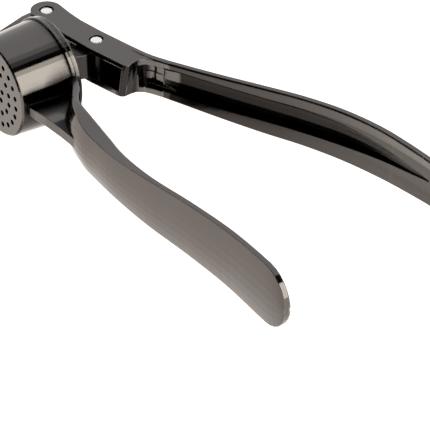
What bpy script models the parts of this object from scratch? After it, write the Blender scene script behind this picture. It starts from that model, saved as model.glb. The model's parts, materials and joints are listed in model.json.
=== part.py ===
"""Hand-held garlic press, lying on its side with its hinge pins upright.

Two cast arms turn on one rivet. The hopper arm carries the cup with its sieve
face, a web under the cup and one handle. The lever arm is a box at its hinge end
and carries the plunger on a second rivet, which lets the plunger stay square to
the cup while the lever swings.

Lengths below are in millimetres and are measured from the hinge axis: +X runs
along the hopper arm's handle, +Y from the sieve towards the lever, and +Z along
the pins. The finished object is in metres, with its origin at the middle of the
underside of its bounding box.
"""

from math import cos, hypot, pi, radians, sin

import bmesh
import bpy
from mathutils import Matrix, Vector

MM = 0.001

# Where the hinge axis stands in the object's own frame.
HINGE_AT = Vector((-81.36, -10.41, 17.88))

# Hinge and rivets.
LINK_PIN_AT = (24.0, 3.8)  # the plunger's rivet
SHANK_RADIUS = 1.7
HEAD_RADIUS = 2.1
HEAD_HEIGHT = 0.75
COUNTERBORE_RADIUS = 2.45
COUNTERBORE_DEPTH = 0.8
RUNNING_GAP = 0.12
FACE_GAP = 0.3

# Lever head: two cheeks with an open box between them.
HEAD_HALF_WIDTH = 6.6
CHEEK = 1.8
EYE_RADIUS = 5.3
BACK_WALL = 1.6
BOX_END_X = (39.3, 40.9)  # at the lower and the upper cheek: the shoulder wall leans

# Round inner end of the lever's pocket, with a step at mid-height.
POCKET_START_AT = (43.6, 10.9)
POCKET_START_RADII = (3.3, 3.6)
POCKET_START_HALF_HEIGHT = 4.6
POCKET_STEP_Z = 0.13
CUT_OVERLAP = 0.17  # neighbouring cuts overlap by this much, so no two faces coincide

# Cup, measured along Y.
CUP_X = 21.3
CUP_FACE_Y = -33.2
CUP_FLANGE_Y = -14.4
CUP_LIP_Y = -12.9
CUP_MOUTH_Y = -11.2
CUP_FACE_RADIUS = 16.2
CUP_FLANGE_RADIUS = 17.3
FLANGE_RADIUS = 17.9
CUP_WALL = 1.8
EDGE = 0.3  # small chamfer on cast corners
SIEVE_THICKNESS = 1.6
SIEVE_HOLE_RADIUS = 0.98
SIEVE_PITCH = 4.05
SIEVE_RINGS = ((0, 1), (1, 7), (2, 14), (3, 21))

# Hopper arm's lug and web.
LUG_HALF_WIDTH = HEAD_HALF_WIDTH - CHEEK - FACE_GAP
LUG_RADIUS = 4.9
WEB_HALF_WIDTH = 1.7

# Plunger.
DISC_RADIUS = 13.0
DISC_THICKNESS = 3.0
DISC_FACE_DROP = 26.8  # from the rivet's axis to the pressing face
DISC_OFFSET = -2.5  # the disc hangs this far towards the hinge, over the cup
STEM_HALF_WIDTH = 3.4
STEM_NECK_DROP = 6.0  # from the rivet's axis to the narrow part of the stem
STEM_BEND_DROP = 14.0
KNEE_DROP = 18.5  # where the stem starts to flare
KNEE_HALF_WIDTH = 5.0
FOOT_HALF_WIDTH = 8.6
FOOT_SINK = 1.0  # the foot reaches this far into the disc
PLUNGER_EYE_RADIUS = 2.9

# Handles: rows of (x, y, half height, side thickness, palm bulge) along the ridge
# between side and palm.
HOPPER_HANDLE = (
    (34.0, -13.4, 6.6, 1.2, 0.2),
    (40.9, -16.3, 6.7, 2.4, 0.3),
    (46.6, -20.1, 7.1, 2.4, 1.6),
    (51.6, -23.3, 7.9, 2.8, 2.6),
    (57.5, -25.9, 8.1, 4.2, 2.4),
    (64.5, -27.9, 7.6, 5.4, 1.6),
    (72.0, -28.6, 7.3, 5.3, 1.1),
    (84.0, -28.9, 7.6, 3.9, 1.0),
    (100.0, -27.8, 8.7, 2.4, 1.1),
    (118.0, -25.6, 9.5, 2.2, 1.2),
    (136.0, -24.2, 10.2, 2.2, 1.2),
    (152.0, -24.3, 10.7, 2.2, 1.1),
    (168.0, -24.8, 10.8, 2.0, 1.0),
)
LEVER_HANDLE = (
    (33.0, 10.8, 6.6, 2.0, 0.8),
    (42.6, 13.3, 6.9, 2.0, 3.2),
    (53.5, 18.3, 7.3, 2.0, 4.4),
    (66.7, 24.7, 8.0, 2.0, 4.6),
    (80.1, 31.6, 8.7, 2.0, 4.6),
    (92.2, 38.0, 9.05, 2.0, 4.6),
    (105.3, 43.5, 9.3, 2.0, 4.4),
    (119.0, 47.4, 9.25, 2.0, 4.0),
    (131.4, 49.5, 8.8, 2.0, 3.4),
    (145.0, 51.0, 8.2, 2.0, 2.8),
    (160.0, 52.0, 7.8, 2.0, 2.2),
)
# The inner faces dip towards the pocket by this much, over this share of the half height.
DISH = 1.0
DISH_RIM = 0.54
# Pockets sunk into the inner faces: rows of (x, y, half height, inner face, floor) along
# the same ridge. The last two are measured from the ridge towards the palm.
LEVER_POCKET = (
    (46.0, 14.8, 4.5, -2.0, 1.6),
    (53.5, 18.3, 4.7, -1.0, 2.3),
    (66.7, 24.7, 4.6, -1.0, 2.6),
    (80.1, 31.6, 4.5, -1.0, 2.6),
    (92.2, 38.0, 4.6, -1.0, 2.4),
    (105.3, 43.5, 4.2, -1.0, 2.2),
    (119.0, 47.4, 3.0, -1.0, 1.2),
    (131.4, 49.5, 1.6, -1.0, 0.0),
    (141.0, 50.6, 0.4, -2.0, -0.6),
)
HOPPER_POCKET = (
    (72.0, -28.5, 3.0, -4.3, -2.6),
    (84.0, -28.9, 4.0, -2.9, -1.2),
    (100.0, -27.8, 4.5, -1.4, -0.4),
    (118.0, -25.6, 4.3, -1.2, -0.3),
    (134.0, -24.3, 3.2, -1.2, -0.4),
    (147.0, -24.1, 1.0, -1.2, -0.8),
)
HANDLE_EDGE = 0.5
POCKET_MOUTH = -9.0  # where the pocket's cutter starts, clear of the inner face
CUTTER_OVERRUN = 1.0  # how far a cutter passes the face it opens
TIP_ANGLES = (0, 14, 28, 42, 55, 67, 77, 84)  # degrees round a handle's tip, closer near its end
CREASE_ANGLE = 32  # degrees: smaller bends are shaded smooth
STEPS_PER_SPAN = 4
PALM_POINTS = 9
ROUND = 64  # sides of a large round
SMALL_ROUND = 24
HOLE_SIDES = 10

# Colours.
GUNMETAL = (0.20, 0.19, 0.18)
DULL_GUNMETAL = (0.18, 0.17, 0.165)
STEEL = (0.78, 0.77, 0.75)


def clear_scene():
    for thing in list(bpy.data.objects):
        bpy.data.objects.remove(thing, do_unlink=True)


# ---------------------------------------------------------------- materials

def make_material(name, colour, metallic, roughness):
    material = bpy.data.materials.new(name)
    material.use_nodes = True
    shader = material.node_tree.nodes["Principled BSDF"]
    shader.inputs["Base Color"].default_value = (*colour, 1.0)
    shader.inputs["Metallic"].default_value = metallic
    shader.inputs["Roughness"].default_value = roughness
    material.diffuse_color = (*colour, 1.0)
    return material


# ---------------------------------------------------------------- objects

def add_object(name, mesh_builder, material=None, parent=None, origin=(0.0, 0.0, 0.0)):
    """Turn a bmesh drawn in millimetres from the hinge into an object whose origin is `origin`."""
    bmesh.ops.translate(mesh_builder, verts=mesh_builder.verts, vec=-Vector(origin))
    bmesh.ops.scale(mesh_builder, verts=mesh_builder.verts, vec=(MM, MM, MM))
    bmesh.ops.recalc_face_normals(mesh_builder, faces=mesh_builder.faces)
    mesh = bpy.data.meshes.new(name)
    mesh_builder.to_mesh(mesh)
    mesh_builder.free()
    thing = bpy.data.objects.new(name, mesh)
    bpy.context.scene.collection.objects.link(thing)
    if material:
        mesh.materials.append(material)
    thing.parent = parent
    thing.location = Vector(origin) * MM
    mesh.shade_smooth()
    mesh.set_sharp_from_angle(angle=radians(CREASE_ANGLE))
    return thing


def add_tool(name, mesh_builder, parent):
    """A shape that only takes part in a Boolean."""
    tool = add_object(name, mesh_builder, parent=parent)
    tool.hide_render = True
    tool.display_type = "WIRE"
    return tool


def combine(target, tool, operation):
    step = target.modifiers.new(f"{operation.lower()} {tool.name}", "BOOLEAN")
    step.operation = operation
    step.solver = "EXACT"
    step.object = tool
    return step


# ---------------------------------------------------------------- shapes

def circle_points(centre, radius, sides, start=0.0, turn=2 * pi, closed=True):
    count = sides if closed else sides + 1
    angles = [start + turn * i / sides for i in range(count)]
    return [(centre[0] + radius * cos(a), centre[1] + radius * sin(a)) for a in angles]


def prism(outline, low, high):
    """An outline in the XY plane, drawn up from z = low to z = high."""
    shape = bmesh.new()
    face = shape.faces.new([shape.verts.new((x, y, low)) for x, y in outline])
    grown = bmesh.ops.extrude_face_region(shape, geom=[face])
    top = [item for item in grown["geom"] if isinstance(item, bmesh.types.BMVert)]
    bmesh.ops.translate(shape, verts=top, vec=(0, 0, high - low))
    return shape


def pin_shape(centre, radius, low, high, sides=SMALL_ROUND):
    return prism(circle_points(centre, radius, sides), low, high)


def turned(profile, centre_x, sides):
    """Spin a closed (radius, y) profile about the line x = centre_x, z = 0."""
    shape = bmesh.new()
    rings = []
    for step in range(sides):
        angle = 2 * pi * (step + 0.5) / sides  # no facet edge lies in the mid-plane
        rings.append([
            shape.verts.new((centre_x + r * cos(angle), y, r * sin(angle))) if r > 0 or step == 0 else None
            for r, y in profile
        ])
    for step in range(sides):
        here, there = rings[step], rings[(step + 1) % sides]
        for k in range(len(profile)):
            after = (k + 1) % len(profile)
            corners = [here[k] or rings[0][k], here[after] or rings[0][after],
                       there[after] or rings[0][after], there[k] or rings[0][k]]
            corners = list(dict.fromkeys(corners))
            if len(corners) > 2:
                shape.faces.new(corners)
    return shape


def smooth_rows(rows, steps):
    """Rows on a Catmull-Rom curve through the given rows."""
    result = []
    for i in range(len(rows) - 1):
        p1, p2 = rows[i], rows[i + 1]
        p0 = rows[i - 1] if i else tuple(2 * a - b for a, b in zip(p1, p2))
        p3 = rows[i + 2] if i + 2 < len(rows) else tuple(2 * b - a for a, b in zip(p1, p2))
        for step in range(steps):
            t = step / steps
            result.append(tuple(
                0.5 * (2 * b + (c - a) * t
                       + (2 * a - 5 * b + 4 * c - d) * t ** 2
                       + (3 * b - a - 3 * c + d) * t ** 3)
                for a, b, c, d in zip(p0, p1, p2, p3)
            ))
    result.append(rows[-1])
    return result


def with_directions(rows, palm_side):
    """Pair each row with the unit vector that points out of the palm."""
    paired = []
    for i, row in enumerate(rows):
        before, after = rows[max(i - 1, 0)], rows[min(i + 1, len(rows) - 1)]
        dx, dy = after[0] - before[0], after[1] - before[1]
        length = hypot(dx, dy)
        paired.append((row, (-dy / length * palm_side, dx / length * palm_side)))
    return paired


def skin(sections):
    """Bridge equal rings of points with flat triangles and cap both ends."""
    shape = bmesh.new()
    rings = [[shape.verts.new(point) for point in ring] for ring in sections]
    count = len(rings[0])
    for here, there in zip(rings, rings[1:]):
        for k in range(count):
            shape.faces.new((here[k], here[(k + 1) % count], there[(k + 1) % count], there[k]))
    bmesh.ops.triangulate(shape, faces=shape.faces[:])
    shape.faces.new(rings[0])
    shape.faces.new(rings[-1])
    return shape


def round_off_tip(rows):
    """End a handle in a half circle as high as the handle itself."""
    end = rows[-1]
    radius = end[2]
    kept = [row for row in rows if end[0] - row[0] > radius]
    base = kept[-1]
    for degrees in TIP_ANGLES:
        x = end[0] - radius + radius * sin(radians(degrees))
        share = (x - base[0]) / (end[0] - base[0])
        row = [a + (b - a) * share for a, b in zip(base, end)]
        row[2] = radius * cos(radians(degrees))
        row[4] *= cos(radians(degrees)) ** 0.5
        kept.append(tuple(row))
    return kept


def handle(rows, palm_side):
    """A bar with a dished inner face, thin crisp sides and a gently bulging palm face."""
    sections = []
    placed = with_directions(round_off_tip(smooth_rows(rows, STEPS_PER_SPAN)), palm_side)
    for (x, y, half, side, bulge), (nx, ny) in placed:
        edge = min(HANDLE_EDGE, half * 0.4)
        rim = half * DISH_RIM
        dip = DISH * min(1.0, side / 2) * (half / rows[-1][2]) ** 0.5
        outline = [(-side, -half + edge), (dip - side, -rim), (dip - side, rim), (-side, half - edge),
                   (-side + edge, half), (0.0, half)]
        for k in range(1, PALM_POINTS + 1):
            height = half * cos(pi * k / (PALM_POINTS + 1))
            outline.append((bulge * (1 - (height / half) ** 2), height))
        outline += [(0.0, -half), (-side + edge, -half)]
        sections.append([(x + n * nx, y + n * ny, z) for n, z in outline])
    return skin(sections)


def pocket(rows, palm_side):
    """The hollow in a handle's inner face: square at the mouth, round at the floor."""
    sections = []
    placed = with_directions(smooth_rows(rows, STEPS_PER_SPAN), palm_side)
    for (x, y, half, face, floor), (nx, ny) in placed:
        outline = [(POCKET_MOUTH, -half), (POCKET_MOUTH, half)]
        for k in range(PALM_POINTS):
            angle = pi / 2 - pi * k / (PALM_POINTS - 1)
            outline.append((face + (floor - face) * abs(cos(angle)) ** 0.7, half * sin(angle)))
        sections.append([(x + n * nx, y + n * ny, z) for n, z in outline])
    return skin(sections)


# ---------------------------------------------------------------- hopper arm

def cup_outside():
    """The tapered cup, the narrow flange round it and the lip above the flange."""
    lip = FLANGE_RADIUS - EDGE
    return turned(
        [(0.0, CUP_FACE_Y), (CUP_FACE_RADIUS - 2 * EDGE, CUP_FACE_Y),
         (CUP_FACE_RADIUS, CUP_FACE_Y + 2 * EDGE),
         (CUP_FLANGE_RADIUS, CUP_FLANGE_Y), (FLANGE_RADIUS - EDGE, CUP_FLANGE_Y),
         (FLANGE_RADIUS, CUP_FLANGE_Y + EDGE), (FLANGE_RADIUS, CUP_LIP_Y - EDGE), (lip, CUP_LIP_Y),
         (lip, CUP_MOUTH_Y - EDGE), (lip - EDGE, CUP_MOUTH_Y), (0.0, CUP_MOUTH_Y)],
        CUP_X, ROUND)


def cup_bore():
    floor = CUP_FACE_Y + SIEVE_THICKNESS
    mouth = CUP_FLANGE_RADIUS - CUP_WALL
    above = CUP_MOUTH_Y + 8.0  # clear of everything the cutter has to pass
    return turned(
        [(0.0, floor), (CUP_FACE_RADIUS - CUP_WALL, floor), (mouth, CUP_MOUTH_Y - 2 * EDGE),
         (mouth + 2 * EDGE, CUP_MOUTH_Y), (mouth + 2 * EDGE, above), (0.0, above)],
        CUP_X, ROUND)


def sieve_holes():
    shape = bmesh.new()
    middle = CUP_FACE_Y + SIEVE_THICKNESS / 2
    for ring, count in SIEVE_RINGS:
        for i in range(count):
            angle = 2 * pi * (i + 0.25 * ring) / count
            x = CUP_X + SIEVE_PITCH * ring * cos(angle)
            z = SIEVE_PITCH * ring * sin(angle)
            place = Matrix.Translation((x, middle, z)) @ Matrix.Rotation(pi / 2, 4, "X")
            bmesh.ops.create_cone(shape, cap_ends=True, segments=HOLE_SIDES, radius1=SIEVE_HOLE_RADIUS,
                                  radius2=SIEVE_HOLE_RADIUS, depth=SIEVE_THICKNESS * 2, matrix=place)
    return shape


def lug_outline():
    """The eye on the hinge and the rib that runs from it down the side of the cup."""
    eye = circle_points((0.0, 0.0), LUG_RADIUS, 20, start=radians(-42), turn=radians(222), closed=False)
    rib = [(-4.2, -7.0), (-2.8, -11.5), (-1.0, -17.6), (2.0, -26.0), (5.4, -32.4), (7.6, -32.4)]
    return eye + rib + [(7.6, CUP_MOUTH_Y), (3.7, CUP_MOUTH_Y)]


def web_outline():
    """The stiffening web between the cup and the handle's palm side."""
    under = [(35.4, -30.6), (38.4, -31.2), (45.7, -29.95), (53.5, -29.3), (63.5, -28.9)]
    return [(34.0, -16.0)] + under + [(66.0, -27.2), (50.0, -20.5)]


def make_hopper_arm(metal, parent):
    arm = add_object("hopper_arm", cup_outside(), metal, parent)
    wide = LUG_HALF_WIDTH
    combine(arm, add_tool("tool_handle", handle(HOPPER_HANDLE, -1), parent), "UNION")
    combine(arm, add_tool("tool_lug", prism(lug_outline(), -wide, wide), parent), "UNION")
    web = prism(web_outline(), -WEB_HALF_WIDTH, WEB_HALF_WIDTH)
    combine(arm, add_tool("tool_web", web, parent), "UNION")
    combine(arm, add_tool("tool_cup_bore", cup_bore(), parent), "DIFFERENCE")
    combine(arm, add_tool("tool_sieve_holes", sieve_holes(), parent), "DIFFERENCE")
    bore_radius = SHANK_RADIUS + RUNNING_GAP
    hinge_bore = pin_shape((0.0, 0.0), bore_radius, -wide - CUTTER_OVERRUN, wide + CUTTER_OVERRUN)
    combine(arm, add_tool("tool_hinge_bore", hinge_bore, parent), "DIFFERENCE")
    combine(arm, add_tool("tool_hopper_pocket", pocket(HOPPER_POCKET, -1), parent), "DIFFERENCE")
    return arm


# ---------------------------------------------------------------- lever arm

def head_outline(shoulder):
    """The lever's head in plan. The shoulder's points differ between its two cheeks."""
    eye = circle_points((0.0, 0.0), EYE_RADIUS, 20, start=radians(90), turn=radians(188), closed=False)
    top = [(47.0, 14.9), (42.5, 13.2), (33.0, 10.8), (20.5, 7.7), (11.5, 5.9), (6.0, 5.4)]
    return eye + [(12.5, -3.5), (27.5, -0.9)] + shoulder + [(48.0, 13.5)] + top


def head_shape():
    """The head drawn up from its lower cheek to its upper cheek."""
    half = HEAD_HALF_WIDTH
    lower = [(38.6, 2.0), (40.0, 2.7), (40.6, 3.8), (40.4, 6.2), (40.6, 8.2), (42.2, 10.3), (44.4, 11.7)]
    upper = [(41.6, 2.6), (42.9, 3.1), (43.1, 4.0), (42.1, 6.1), (41.8, 8.2), (42.8, 10.6), (44.6, 12.1)]
    return skin([[(x, y, z) for x, y in head_outline(row)] for row, z in ((lower, -half), (upper, half))])


def box_shape(inner):
    """The hollow between the cheeks. It is open below and round the hinge."""
    rings = []
    for end, z in ((BOX_END_X[0], -inner), (BOX_END_X[1], inner)):
        outline = [(-9.0, -12.0), (end, -12.0), (end, 9.6),
                   (33.0, 10.8 - BACK_WALL), (20.5, 7.7 - BACK_WALL),
                   (11.5, 5.9 - BACK_WALL), (8.0, 5.5 - BACK_WALL), (8.0, 9.0), (-9.0, 9.0)]
        rings.append([(x, y, z) for x, y in outline])
    return skin(rings)


def pocket_start_outline(radius):
    """The deep round-ended start of the lever's pocket, behind the shoulder."""
    bend = circle_points(POCKET_START_AT, radius, 8, start=radians(95), turn=radians(125), closed=False)
    return [(44.2, 5.6), (54.0, 13.0), (54.0, 18.4), (48.0, 16.4)] + bend


def make_lever_arm(metal, parent):
    half = HEAD_HALF_WIDTH
    lever = add_object("lever_arm", head_shape(), metal, parent)
    combine(lever, add_tool("tool_lever_handle", handle(LEVER_HANDLE, 1), parent), "UNION")
    inner = half - CHEEK
    combine(lever, add_tool("tool_box", box_shape(inner), parent), "DIFFERENCE")
    high = POCKET_START_HALF_HEIGHT
    step = POCKET_STEP_Z
    for label, radius, low, top in (("lower", POCKET_START_RADII[0], -high, step + CUT_OVERLAP),
                                    ("upper", POCKET_START_RADII[1], step, high - CUT_OVERLAP)):
        start = prism(pocket_start_outline(radius), low, top)
        combine(lever, add_tool(f"tool_{label}_pocket_start", start, parent), "DIFFERENCE")
    for label, at in (("hinge", (0.0, 0.0)), ("link", LINK_PIN_AT)):
        through = pin_shape(at, SHANK_RADIUS + RUNNING_GAP, -half - CUTTER_OVERRUN, half + CUTTER_OVERRUN)
        combine(lever, add_tool(f"tool_{label}_hole", through, parent), "DIFFERENCE")
        for side, low in (("top", half - COUNTERBORE_DEPTH), ("bottom", -half - CUTTER_OVERRUN)):
            sunk = pin_shape(at, COUNTERBORE_RADIUS, low, low + CUTTER_OVERRUN + COUNTERBORE_DEPTH)
            combine(lever, add_tool(f"tool_{label}_{side}_seat", sunk, parent), "DIFFERENCE")
    combine(lever, add_tool("tool_lever_pocket", pocket(LEVER_POCKET, 1), parent), "DIFFERENCE")
    return lever


# ---------------------------------------------------------------- rivets

def rivet_shape(at):
    """A round shank with a low domed head in each cheek's counterbore."""
    shape = bmesh.new()
    seat = HEAD_HALF_WIDTH - COUNTERBORE_DEPTH + 0.1
    side = seat + HEAD_HEIGHT * 0.4
    rise = HEAD_HEIGHT * 0.6
    dome = [(HEAD_RADIUS * cos(radians(a)), side + rise * sin(radians(a))) for a in (0, 30, 60, 90)]
    upper = [(SHANK_RADIUS, seat), (HEAD_RADIUS, seat)] + dome[:-1] + [(0.0, dome[-1][1])]
    profile = [(r, -z) for r, z in reversed(upper)] + upper
    rings = []
    for r, z in profile:
        if r == 0.0:
            rings.append([shape.verts.new((at[0], at[1], z))])
        else:
            rings.append([shape.verts.new((x, y, z)) for x, y in circle_points(at, r, SMALL_ROUND)])
    for here, there in zip(rings, rings[1:]):
        for k in range(SMALL_ROUND):
            corners = [here[k % len(here)], here[(k + 1) % len(here)],
                       there[(k + 1) % len(there)], there[k % len(there)]]
            shape.faces.new(list(dict.fromkeys(corners)))
    return shape


# ---------------------------------------------------------------- plunger

def stem_outline():
    """Eye, stem and flared foot, from the rivet down to the disc."""
    x, y = LINK_PIN_AT
    foot = x + DISC_OFFSET
    top_of_disc = y - DISC_FACE_DROP + DISC_THICKNESS
    eye = circle_points((x, y), PLUNGER_EYE_RADIUS, 20, start=radians(-40), turn=radians(260), closed=False)
    rows = [(x, STEM_HALF_WIDTH, y - STEM_NECK_DROP), (foot, STEM_HALF_WIDTH, y - STEM_BEND_DROP),
            (foot, KNEE_HALF_WIDTH, y - KNEE_DROP), (foot, FOOT_HALF_WIDTH, top_of_disc),
            (foot, FOOT_HALF_WIDTH, top_of_disc - FOOT_SINK)]
    left = [(middle - wide, height) for middle, wide, height in rows]
    right = [(middle + wide, height) for middle, wide, height in reversed(rows)]
    return eye + left + right


def make_plunger(metal, parent):
    x, y = LINK_PIN_AT
    face = y - DISC_FACE_DROP
    back = face + DISC_THICKNESS
    profile = [(0.0, face), (DISC_RADIUS - EDGE, face), (DISC_RADIUS, face + EDGE),
               (DISC_RADIUS, back - EDGE), (DISC_RADIUS - EDGE, back), (0.0, back)]
    disc = turned(profile, x + DISC_OFFSET, ROUND)
    plunger = add_object("plunger", disc, metal, parent, origin=(x, y, 0.0))
    wide = LUG_HALF_WIDTH
    combine(plunger, add_tool("tool_stem", prism(stem_outline(), -wide, wide), parent), "UNION")
    bore_radius = SHANK_RADIUS + RUNNING_GAP
    bore = pin_shape(LINK_PIN_AT, bore_radius, -wide - CUTTER_OVERRUN, wide + CUTTER_OVERRUN)
    combine(plunger, add_tool("tool_plunger_bore", bore, parent), "DIFFERENCE")
    return plunger


# ---------------------------------------------------------------- build

def build():
    clear_scene()
    hinge = bpy.data.objects.new("hinge_axis", None)
    hinge.location = HINGE_AT * MM
    bpy.context.scene.collection.objects.link(hinge)
    gunmetal = {
        name: make_material(f"{name}_gunmetal", colour, 1.0, roughness)
        for name, colour, roughness in (("hopper", GUNMETAL, 0.16), ("lever", GUNMETAL, 0.16),
                                        ("plunger", DULL_GUNMETAL, 0.22))
    }
    make_hopper_arm(gunmetal["hopper"], hinge)
    make_lever_arm(gunmetal["lever"], hinge)
    make_plunger(gunmetal["plunger"], hinge)
    for name, at in (("hinge_rivet", (0.0, 0.0)), ("plunger_rivet", LINK_PIN_AT)):
        steel = make_material(f"{name}_steel", STEEL, 1.0, 0.12)
        add_object(name, rivet_shape(at), steel, hinge, origin=(at[0], at[1], 0.0))


build()
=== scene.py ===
# %% [markdown]
# # Finishing a cast garlic press
#
# A garlic press is two cast arms on one rivet, with a plunger hung on a second rivet. The solid
# model already fixes every shape and every joint, so this lesson is about looks: how polished
# gunmetal plating, a duller plunger and bright rivet heads are made in Blender, and how a small
# studio is built around them. All lengths are in metres and share the solid model's frame.

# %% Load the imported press
import json
from math import cos, radians, sin

import bmesh
import bpy
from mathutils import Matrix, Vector


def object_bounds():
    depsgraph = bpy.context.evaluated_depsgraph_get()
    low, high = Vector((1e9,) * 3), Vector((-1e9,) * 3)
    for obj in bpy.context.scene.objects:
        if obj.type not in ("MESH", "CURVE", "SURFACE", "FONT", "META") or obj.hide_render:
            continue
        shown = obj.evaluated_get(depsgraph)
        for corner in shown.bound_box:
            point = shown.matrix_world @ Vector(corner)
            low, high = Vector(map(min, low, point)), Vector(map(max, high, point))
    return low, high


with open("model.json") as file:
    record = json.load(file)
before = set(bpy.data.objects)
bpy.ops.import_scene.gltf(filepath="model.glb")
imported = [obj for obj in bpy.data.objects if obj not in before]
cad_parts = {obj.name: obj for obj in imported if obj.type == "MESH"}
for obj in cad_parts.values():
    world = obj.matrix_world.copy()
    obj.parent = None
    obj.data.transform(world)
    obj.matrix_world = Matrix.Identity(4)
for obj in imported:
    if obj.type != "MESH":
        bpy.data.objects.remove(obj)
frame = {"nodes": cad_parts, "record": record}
cad_low, cad_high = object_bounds()
MM = 0.001
hinge = Vector(frame["record"]["behaviour"]["joints"][0]["pos_m"])
print("press measures", [round((b - a) / MM, 1) for a, b in zip(cad_low, cad_high)], "mm")

# %% [markdown]
# ## Small helpers for node trees
#
# A procedural material is a chain of small steps, and each helper below is one of them: add a
# node, do one sum, draw soft noise, stretch a range of values, mask a span, or mix two colours.
# Blender could also keep these as node groups. Plain functions are easier to read one by one.


# %% Node helpers
def add_node(tree, kind, **inputs):
    """Add a node and set its inputs: a value is set, a socket is linked."""
    node = tree.nodes.new(kind)
    for name, value in inputs.items():
        socket = node.inputs[name.replace("_", " ")]
        if isinstance(value, bpy.types.NodeSocket):
            tree.links.new(value, socket)
        else:
            socket.default_value = value
    return node


def calculate(tree, operation, *values, clamp=False):
    """One Math node, with numbers or sockets as its inputs."""
    node = tree.nodes.new("ShaderNodeMath")
    node.operation = operation
    node.use_clamp = clamp
    for socket, value in zip(node.inputs, values):
        if isinstance(value, bpy.types.NodeSocket):
            tree.links.new(value, socket)
        else:
            socket.default_value = value
    return node.outputs[0]


def noise(tree, place, scale, detail, roughness):
    """Soft noise from 0 to 1."""
    node = add_node(tree, "ShaderNodeTexNoise", Vector=place, Scale=scale, Detail=detail,
                    Roughness=roughness)
    return node.outputs["Fac"]


def remap(tree, value, from_low, from_high, to_low, to_high):
    """Stretch one range of values onto another, and hold the ends."""
    node = add_node(tree, "ShaderNodeMapRange", Value=value, From_Min=from_low, From_Max=from_high,
                    To_Min=to_low, To_Max=to_high)
    return node.outputs["Result"]


def between(tree, value, low, high, soft):
    """A mask that is 1 between low and high, with soft ends."""
    rise = remap(tree, value, low - soft, low + soft, 0.0, 1.0)
    fall = remap(tree, value, high - soft, high + soft, 1.0, 0.0)
    return calculate(tree, "MULTIPLY", rise, fall)


def mix_colours(tree, share, first, second):
    """Mix from the first colour to the second. Either is a colour or a socket."""
    node = tree.nodes.new("ShaderNodeMix")
    node.data_type = "RGBA"
    tree.links.new(share, node.inputs["Factor"])
    colour_inputs = [socket for socket in node.inputs if socket.type == "RGBA"]
    for socket, value in zip(colour_inputs, (first, second)):
        if isinstance(value, bpy.types.NodeSocket):
            tree.links.new(value, socket)
        else:
            socket.default_value = (*value, 1.0)
    return next(socket for socket in node.outputs if socket.type == "RGBA")


print("helpers ready")

# %% [markdown]
# ## Worn edges
#
# Hands rub the plating thin on edges, and the paler metal shows through. The Bevel node gives the
# normal that a slightly rounded edge would have. Where it differs from the real normal there is
# an edge, so their dot product is a mask. Soft noise breaks the mask up, because wear is patchy.

# %% Edge wear
EDGE_REACH = 0.5 * MM
EDGE_SAMPLES = 4
EDGE_BEND = (0.995, 0.90)  # no wear above the first dot product, full wear below the second
WEAR_PATCHES = (0.45, 0.65, 0.15, 0.8)  # this range of the patches gives this range of wear


def rounded_normal(tree):
    bevel = add_node(tree, "ShaderNodeBevel", Radius=EDGE_REACH)
    bevel.samples = EDGE_SAMPLES
    return bevel.outputs["Normal"]


def edge_wear(tree, rounded, patches):
    """How far the plating is worn through, from 0 to 1."""
    bend = tree.nodes.new("ShaderNodeVectorMath")
    bend.operation = "DOT_PRODUCT"
    tree.links.new(rounded, bend.inputs[0])
    tree.links.new(tree.nodes.new("ShaderNodeNewGeometry").outputs["Normal"], bend.inputs[1])
    edge = remap(tree, bend.outputs["Value"], *EDGE_BEND, 0.0, 1.0)
    return calculate(tree, "MULTIPLY", edge, remap(tree, patches, *WEAR_PATCHES), clamp=True)


print("edges wear over", EDGE_REACH / MM, "mm")

# %% [markdown]
# ## Painted shade in hollows and on a few faces
#
# Shade is painted into the plating in the sieve's holes, the lever's box and the handles' pockets.
# The Ambient Occlusion node finds these hollows by itself and darkens their colour.
# This studio is simpler than a real one and lights a few open faces too brightly, so shade is
# painted into their plating, listed by name: which way a face looks, and over which span of the
# arm, measured in millimetres from the hinge. Both masks are read in the piece's own space, so
# they stay put when an arm swings.

# %% Hollows
HOLLOW_REACH = 9 * MM
HOLLOW_SAMPLES = 8
HOLLOW_OPENNESS = (0.96, 0.86)  # no painted shade above the first, full painted shade below the second
UNSHADED_SPAN = (41.0, 50.0)  # no shade is painted on the round start of the lever's pocket
UNSHADED_SOFTNESS = 0.5 * MM


def from_hinge(span):
    """A span in millimetres from the hinge, as two places along X."""
    return [hinge.x + x * MM for x in span]


def hollows(tree, along):
    """How much shade is painted into hollows, from 0 to 1."""
    openness = add_node(tree, "ShaderNodeAmbientOcclusion", Distance=HOLLOW_REACH)
    openness.samples = HOLLOW_SAMPLES
    openness.only_local = True
    hollow = remap(tree, openness.outputs["AO"], *HOLLOW_OPENNESS, 0.0, 1.0)
    unshaded = between(tree, along, *from_hinge(UNSHADED_SPAN), UNSHADED_SOFTNESS)
    return calculate(tree, "MULTIPLY", hollow, calculate(tree, "SUBTRACT", 1.0, unshaded))


print("hollows are felt over", round(HOLLOW_REACH / MM, 1), "mm")

# %% Painted shade on named faces
FACING = (0.10, 0.30)  # the normal's share along an axis: a face starts to count, counts in full
SPAN_SOFTNESS = 0.4 * MM
EVERYWHERE = 100.0  # higher than any face
# Rows of (axis, sign, span, painted shade at the span's two ends, highest y from the hinge).
LEVER_PAINTED_SHADE = (
    ("Y", -1, (50.0, 125.0), (0.86, 0.30), EVERYWHERE),
    ("Y", -1, (125.0, 175.0), (0.30, 0.24), EVERYWHERE),
    ("X", 1, (38.0, 44.6), (0.85, 0.85), 8.0),
)
HOPPER_PAINTED_SHADE = (
    ("Z", -1, (-10.0, 42.0), (0.85, 0.85), EVERYWHERE),
    ("Y", -1, (46.0, 58.0), (0.30, 0.22), EVERYWHERE),
    ("Y", -1, (58.0, 110.0), (0.22, 0.08), EVERYWHERE),
    ("Y", -1, (110.0, 175.0), (0.08, 0.28), EVERYWHERE),
)


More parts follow.
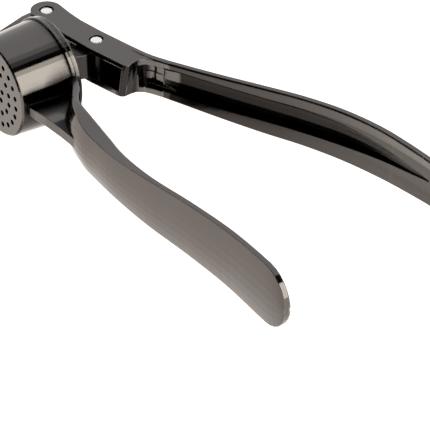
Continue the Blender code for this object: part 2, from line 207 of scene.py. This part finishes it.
def painted_face_shade(tree, spot, tilt, axis, sign, span, shade_amounts, highest):
    """How much shade is painted on one named face, from 0 to 1."""
    start, end = from_hinge(span)
    top = hinge.y + highest * MM
    facing = remap(tree, tilt.outputs[axis], FACING[0] * sign, FACING[1] * sign, 0.0, 1.0)
    amount = remap(tree, spot.outputs["X"], start, end, *shade_amounts)
    inside = between(tree, spot.outputs["X"], start, end, SPAN_SOFTNESS)
    below = remap(tree, spot.outputs["Y"], top, top + MM, 1.0, 0.0)
    amount = calculate(tree, "MULTIPLY", calculate(tree, "MULTIPLY", amount, inside), below)
    return calculate(tree, "MULTIPLY", facing, amount)


print("dull faces:", len(LEVER_PAINTED_SHADE), "on the lever,", len(HOPPER_PAINTED_SHADE), "on the hopper arm")

# %% [markdown]
# ## Gunmetal plating
#
# The castings are zinc, polished and then plated with black nickel. The colour lives in the
# metal's own reflection, so the shader is fully metallic with a warm dark grey. Real plating is
# never one even value: the polish varies in soft patches, and fine marks stay where the wheel
# went. A coloured plastic shader with a coat would be simpler, but it reflects like lacquer.

# %% Plated metal
PATCHES = (55.0, 4.0, 0.5)  # scale, detail and roughness of the noise
MARKS = (900.0, 2.0, 0.6)
PATCH_RANGE = (0.35, 0.70)
POLISH_SPREAD = (0.8, 1.35)  # roughness varies between these shares of its value
MARK_ROUGHNESS = 0.02


def plated_metal(name, colour, worn, painted_shade_colour, roughness, shaded_faces=(), bump=(0.03, 0.05)):
    """A plated or polished metal. bump is the marks' strength and their depth in millimetres."""
    material = bpy.data.materials.new(name)
    material.use_nodes = True
    tree = material.node_tree
    shader = tree.nodes["Principled BSDF"]
    coordinates = tree.nodes.new("ShaderNodeTexCoord")
    place = coordinates.outputs["Object"]
    spot = add_node(tree, "ShaderNodeSeparateXYZ", Vector=place)
    tilt = add_node(tree, "ShaderNodeSeparateXYZ", Vector=coordinates.outputs["Normal"])
    patches = noise(tree, place, *PATCHES)
    marks = noise(tree, place, *MARKS)
    rounded = rounded_normal(tree)

    plating = mix_colours(tree, edge_wear(tree, rounded, patches), colour, worn)
    # Shade is painted into the plating here: hollows and the named faces are darkened towards the
    # shade colour.
    painted_shade = hollows(tree, spot.outputs["X"])
    for face in shaded_faces:
        painted_shade = calculate(tree, "MAXIMUM", painted_shade, painted_face_shade(tree, spot, tilt, *face))
    finish_and_shade = mix_colours(tree, painted_shade, plating, painted_shade_colour)
    tree.links.new(finish_and_shade, shader.inputs["Base Color"])

    polish = remap(tree, patches, *PATCH_RANGE, *(roughness * share for share in POLISH_SPREAD))
    marked = calculate(tree, "ADD", polish, remap(tree, marks, 0.0, 1.0, 0.0, MARK_ROUGHNESS))
    tree.links.new(marked, shader.inputs["Roughness"])
    strength, depth = bump
    relief = add_node(tree, "ShaderNodeBump", Strength=strength, Distance=depth * MM, Height=marks,
                      Normal=rounded)
    tree.links.new(relief.outputs["Normal"], shader.inputs["Normal"])
    shader.inputs["Metallic"].default_value = 1.0
    return material


print("plating recipe ready")

# %% Mix the four finishes
# Colour, colour where worn, colour of the painted shade in hollows and on named faces, and
# roughness.
GUNMETAL = ((0.126, 0.117, 0.112), (0.40, 0.385, 0.37), (0.010, 0.009, 0.009), 0.10)
# The plunger is rougher than the arms, and its colour is darkened further as painted shade from
# the lever's box around it.
DULL_SHADED_GUNMETAL = ((0.045, 0.042, 0.041), (0.20, 0.19, 0.185), (0.012, 0.011, 0.011), 0.26)
STEEL = ((0.92, 0.91, 0.89), (0.97, 0.96, 0.95), (0.60, 0.59, 0.58), 0.14)
HAMMERED = (0.6, 0.3)  # the rivets' heads are formed by hammering

hopper_metal = plated_metal("hopper_polished_gunmetal", *GUNMETAL, HOPPER_PAINTED_SHADE)
lever_metal = plated_metal("lever_polished_gunmetal", *GUNMETAL, LEVER_PAINTED_SHADE)
plunger_metal = plated_metal("plunger_gunmetal", *DULL_SHADED_GUNMETAL)
rivet_steel = plated_metal("bright_rivet_steel", *STEEL, bump=HAMMERED)
print("materials:", [m.name for m in (hopper_metal, lever_metal, plunger_metal, rivet_steel)])

# %% [markdown]
# ## Dressing the pieces
#
# Every piece keeps the solid model's own mesh and only changes its material. The two arms share a
# plating recipe but not a material, because each has its own faces with painted shade.

# %% Dress the solid model's pieces
finishes = {
    "hopper_arm": hopper_metal,
    "lever_arm": lever_metal,
    "plunger": plunger_metal,
    "hinge_rivet": rivet_steel,
    "plunger_rivet": rivet_steel,
}
for node_name, finish_and_shade in finishes.items():
    for material_slot in frame["nodes"][node_name].material_slots:
        material_slot.material = finish_and_shade
print("dressed", len(finishes), "pieces")

# %% [markdown]
# ## Softened edges
#
# No polished casting has a knife edge: the wheel leaves a fine radius, and that radius is what
# catches a thin bright line of light. The creases could be rounded in the solid model, but that
# would make its collision shapes heavier for nothing. A narrow Bevel modifier on the two arms
# does it here, without changing a dimension.

# %% Bevel the castings' creases
CREASE_WIDTH = 0.30 * MM
CREASE_ANGLE = radians(40)

for node_name in ("hopper_arm", "lever_arm"):
    crease = frame["nodes"][node_name].modifiers.new("polished crease", "BEVEL")
    crease.width = CREASE_WIDTH
    crease.segments = 2
    crease.limit_method = "ANGLE"
    crease.angle_limit = CREASE_ANGLE
    crease.harden_normals = True
    crease.use_clamp_overlap = True
print("bevelled creases", round(CREASE_WIDTH / MM, 2), "mm wide")

# %% [markdown]
# ## The studio
#
# Polished metal shows its surroundings more than itself, so the surroundings are designed. Two
# long soft boxes run side by side above the cup, parallel to its axis. The grey one covers the
# whole left of the sky and greys every flat top, and it fades out towards the middle. The bright
# warm one stands low on the right and draws the cream band along the cup. The unlit gap between
# them makes the cup's black band. The sky behind the viewer is left dark, which draws thin dark
# lines along the handles' edges. Area lamps would do the same, but in the sky a soft box can be
# placed by the very direction in which a face reflects.

# %% Soft boxes in the sky
# Angle about the cup's axis from and to, softness of the ends, strength and colour.
GREY_BOX = (radians(80), radians(222), radians(14), 0.95, (0.975, 0.975, 1.0))
WARM_BOX = (radians(-4), radians(52), radians(2.5), 4.2, (1.0, 0.98, 0.88))
LIT_FROM = (-0.35, -0.15)  # the boxes fade out behind the viewer between these parts along Y

world = bpy.data.worlds.new("studio")
bpy.context.scene.world = world
world.use_nodes = True
sky = world.node_tree
sky.nodes.clear()
ray = sky.nodes.new("ShaderNodeTexCoord").outputs["Generated"]
direction = add_node(sky, "ShaderNodeSeparateXYZ", Vector=ray)
around = calculate(sky, "ARCTAN2", direction.outputs["Z"], direction.outputs["X"])
ahead = remap(sky, direction.outputs["Y"], *LIT_FROM, 0.0, 1.0)
lit = sky.nodes.new("ShaderNodeAddShader")
for socket, (start, end, soft, strength, colour) in zip(lit.inputs, (GREY_BOX, WARM_BOX)):
    mask = calculate(sky, "MULTIPLY", between(sky, around, start, end, soft), ahead)
    brightness = calculate(sky, "MULTIPLY", mask, strength)
    glow = add_node(sky, "ShaderNodeBackground", Color=(*colour, 1.0), Strength=brightness)
    sky.links.new(glow.outputs[0], socket)
sky.links.new(lit.outputs[0], sky.nodes.new("ShaderNodeOutputWorld").inputs["Surface"])
print("soft boxes:", len(lit.inputs))

# %% [markdown]
# ## The table
#
# The press lies on a white light table, and the rounded palms of the handles reflect it. A white
# sheet under a lamp would also do, but the press would throw a shadow on it and then reflect the
# shadow. The table's own glow keeps it an even white.

# %% Light table
TABLE_HALF_SIZE = 4.0
TABLE_GAP = 0.2 * MM  # the table stays this far below the press
TABLE_COLOUR = (0.10, 0.10, 0.10, 1.0)
GLOW_COLOUR = (1.0, 0.93, 0.87, 1.0)
GLOW_STRENGTH = 1.42

floor_shape = bmesh.new()
bmesh.ops.create_grid(floor_shape, x_segments=1, y_segments=1, size=TABLE_HALF_SIZE)
floor_mesh = bpy.data.meshes.new("floor")
floor_shape.to_mesh(floor_mesh)
floor_shape.free()
floor = bpy.data.objects.new("floor", floor_mesh)
bpy.context.scene.collection.objects.link(floor)
floor.location.z = cad_low.z - TABLE_GAP
table = bpy.data.materials.new("light_table")
table.use_nodes = True
shader = table.node_tree.nodes["Principled BSDF"]
shader.inputs["Base Color"].default_value = TABLE_COLOUR
shader.inputs["Roughness"].default_value = 0.9
shader.inputs["Specular IOR Level"].default_value = 0.0
shader.inputs["Emission Color"].default_value = GLOW_COLOUR
shader.inputs["Emission Strength"].default_value = GLOW_STRENGTH
floor_mesh.materials.append(table)
print("table top at", round(floor.location.z / MM, 2), "mm")

# %% [markdown]
# ## The camera
#
# A long lens from about a metre keeps the two handles in nearly true proportion, where a short
# lens close up would swell the nearer ends. The camera looks down from beyond the handles' ends,
# on the hopper arm's side, so the sieve, the cheeks and the open box all show at once.

# %% Camera
VIEW_AZIMUTH = radians(55)
VIEW_ELEVATION = radians(36.6)
VIEW_DISTANCE = 0.9914
LENS = 272.5
SENSOR = 36.0
AIM_FROM_HINGE = Vector((117.3, -14.4, 0.0)) * MM

aim = hinge + AIM_FROM_HINGE
level = cos(VIEW_ELEVATION)
back = Vector((sin(VIEW_AZIMUTH) * level, -cos(VIEW_AZIMUTH) * level, sin(VIEW_ELEVATION)))
lens = bpy.data.cameras.new("camera")
lens.lens = LENS
lens.sensor_width = SENSOR
camera = bpy.data.objects.new("camera", lens)
camera.location = aim + back * VIEW_DISTANCE
camera.rotation_mode = "QUATERNION"
camera.rotation_quaternion = (-back).to_track_quat("-Z", "Y")
bpy.context.scene.collection.objects.link(camera)
bpy.context.scene.camera = camera
bpy.context.scene.view_settings.view_transform = "Standard"
print("camera at", [round(v, 3) for v in camera.location])
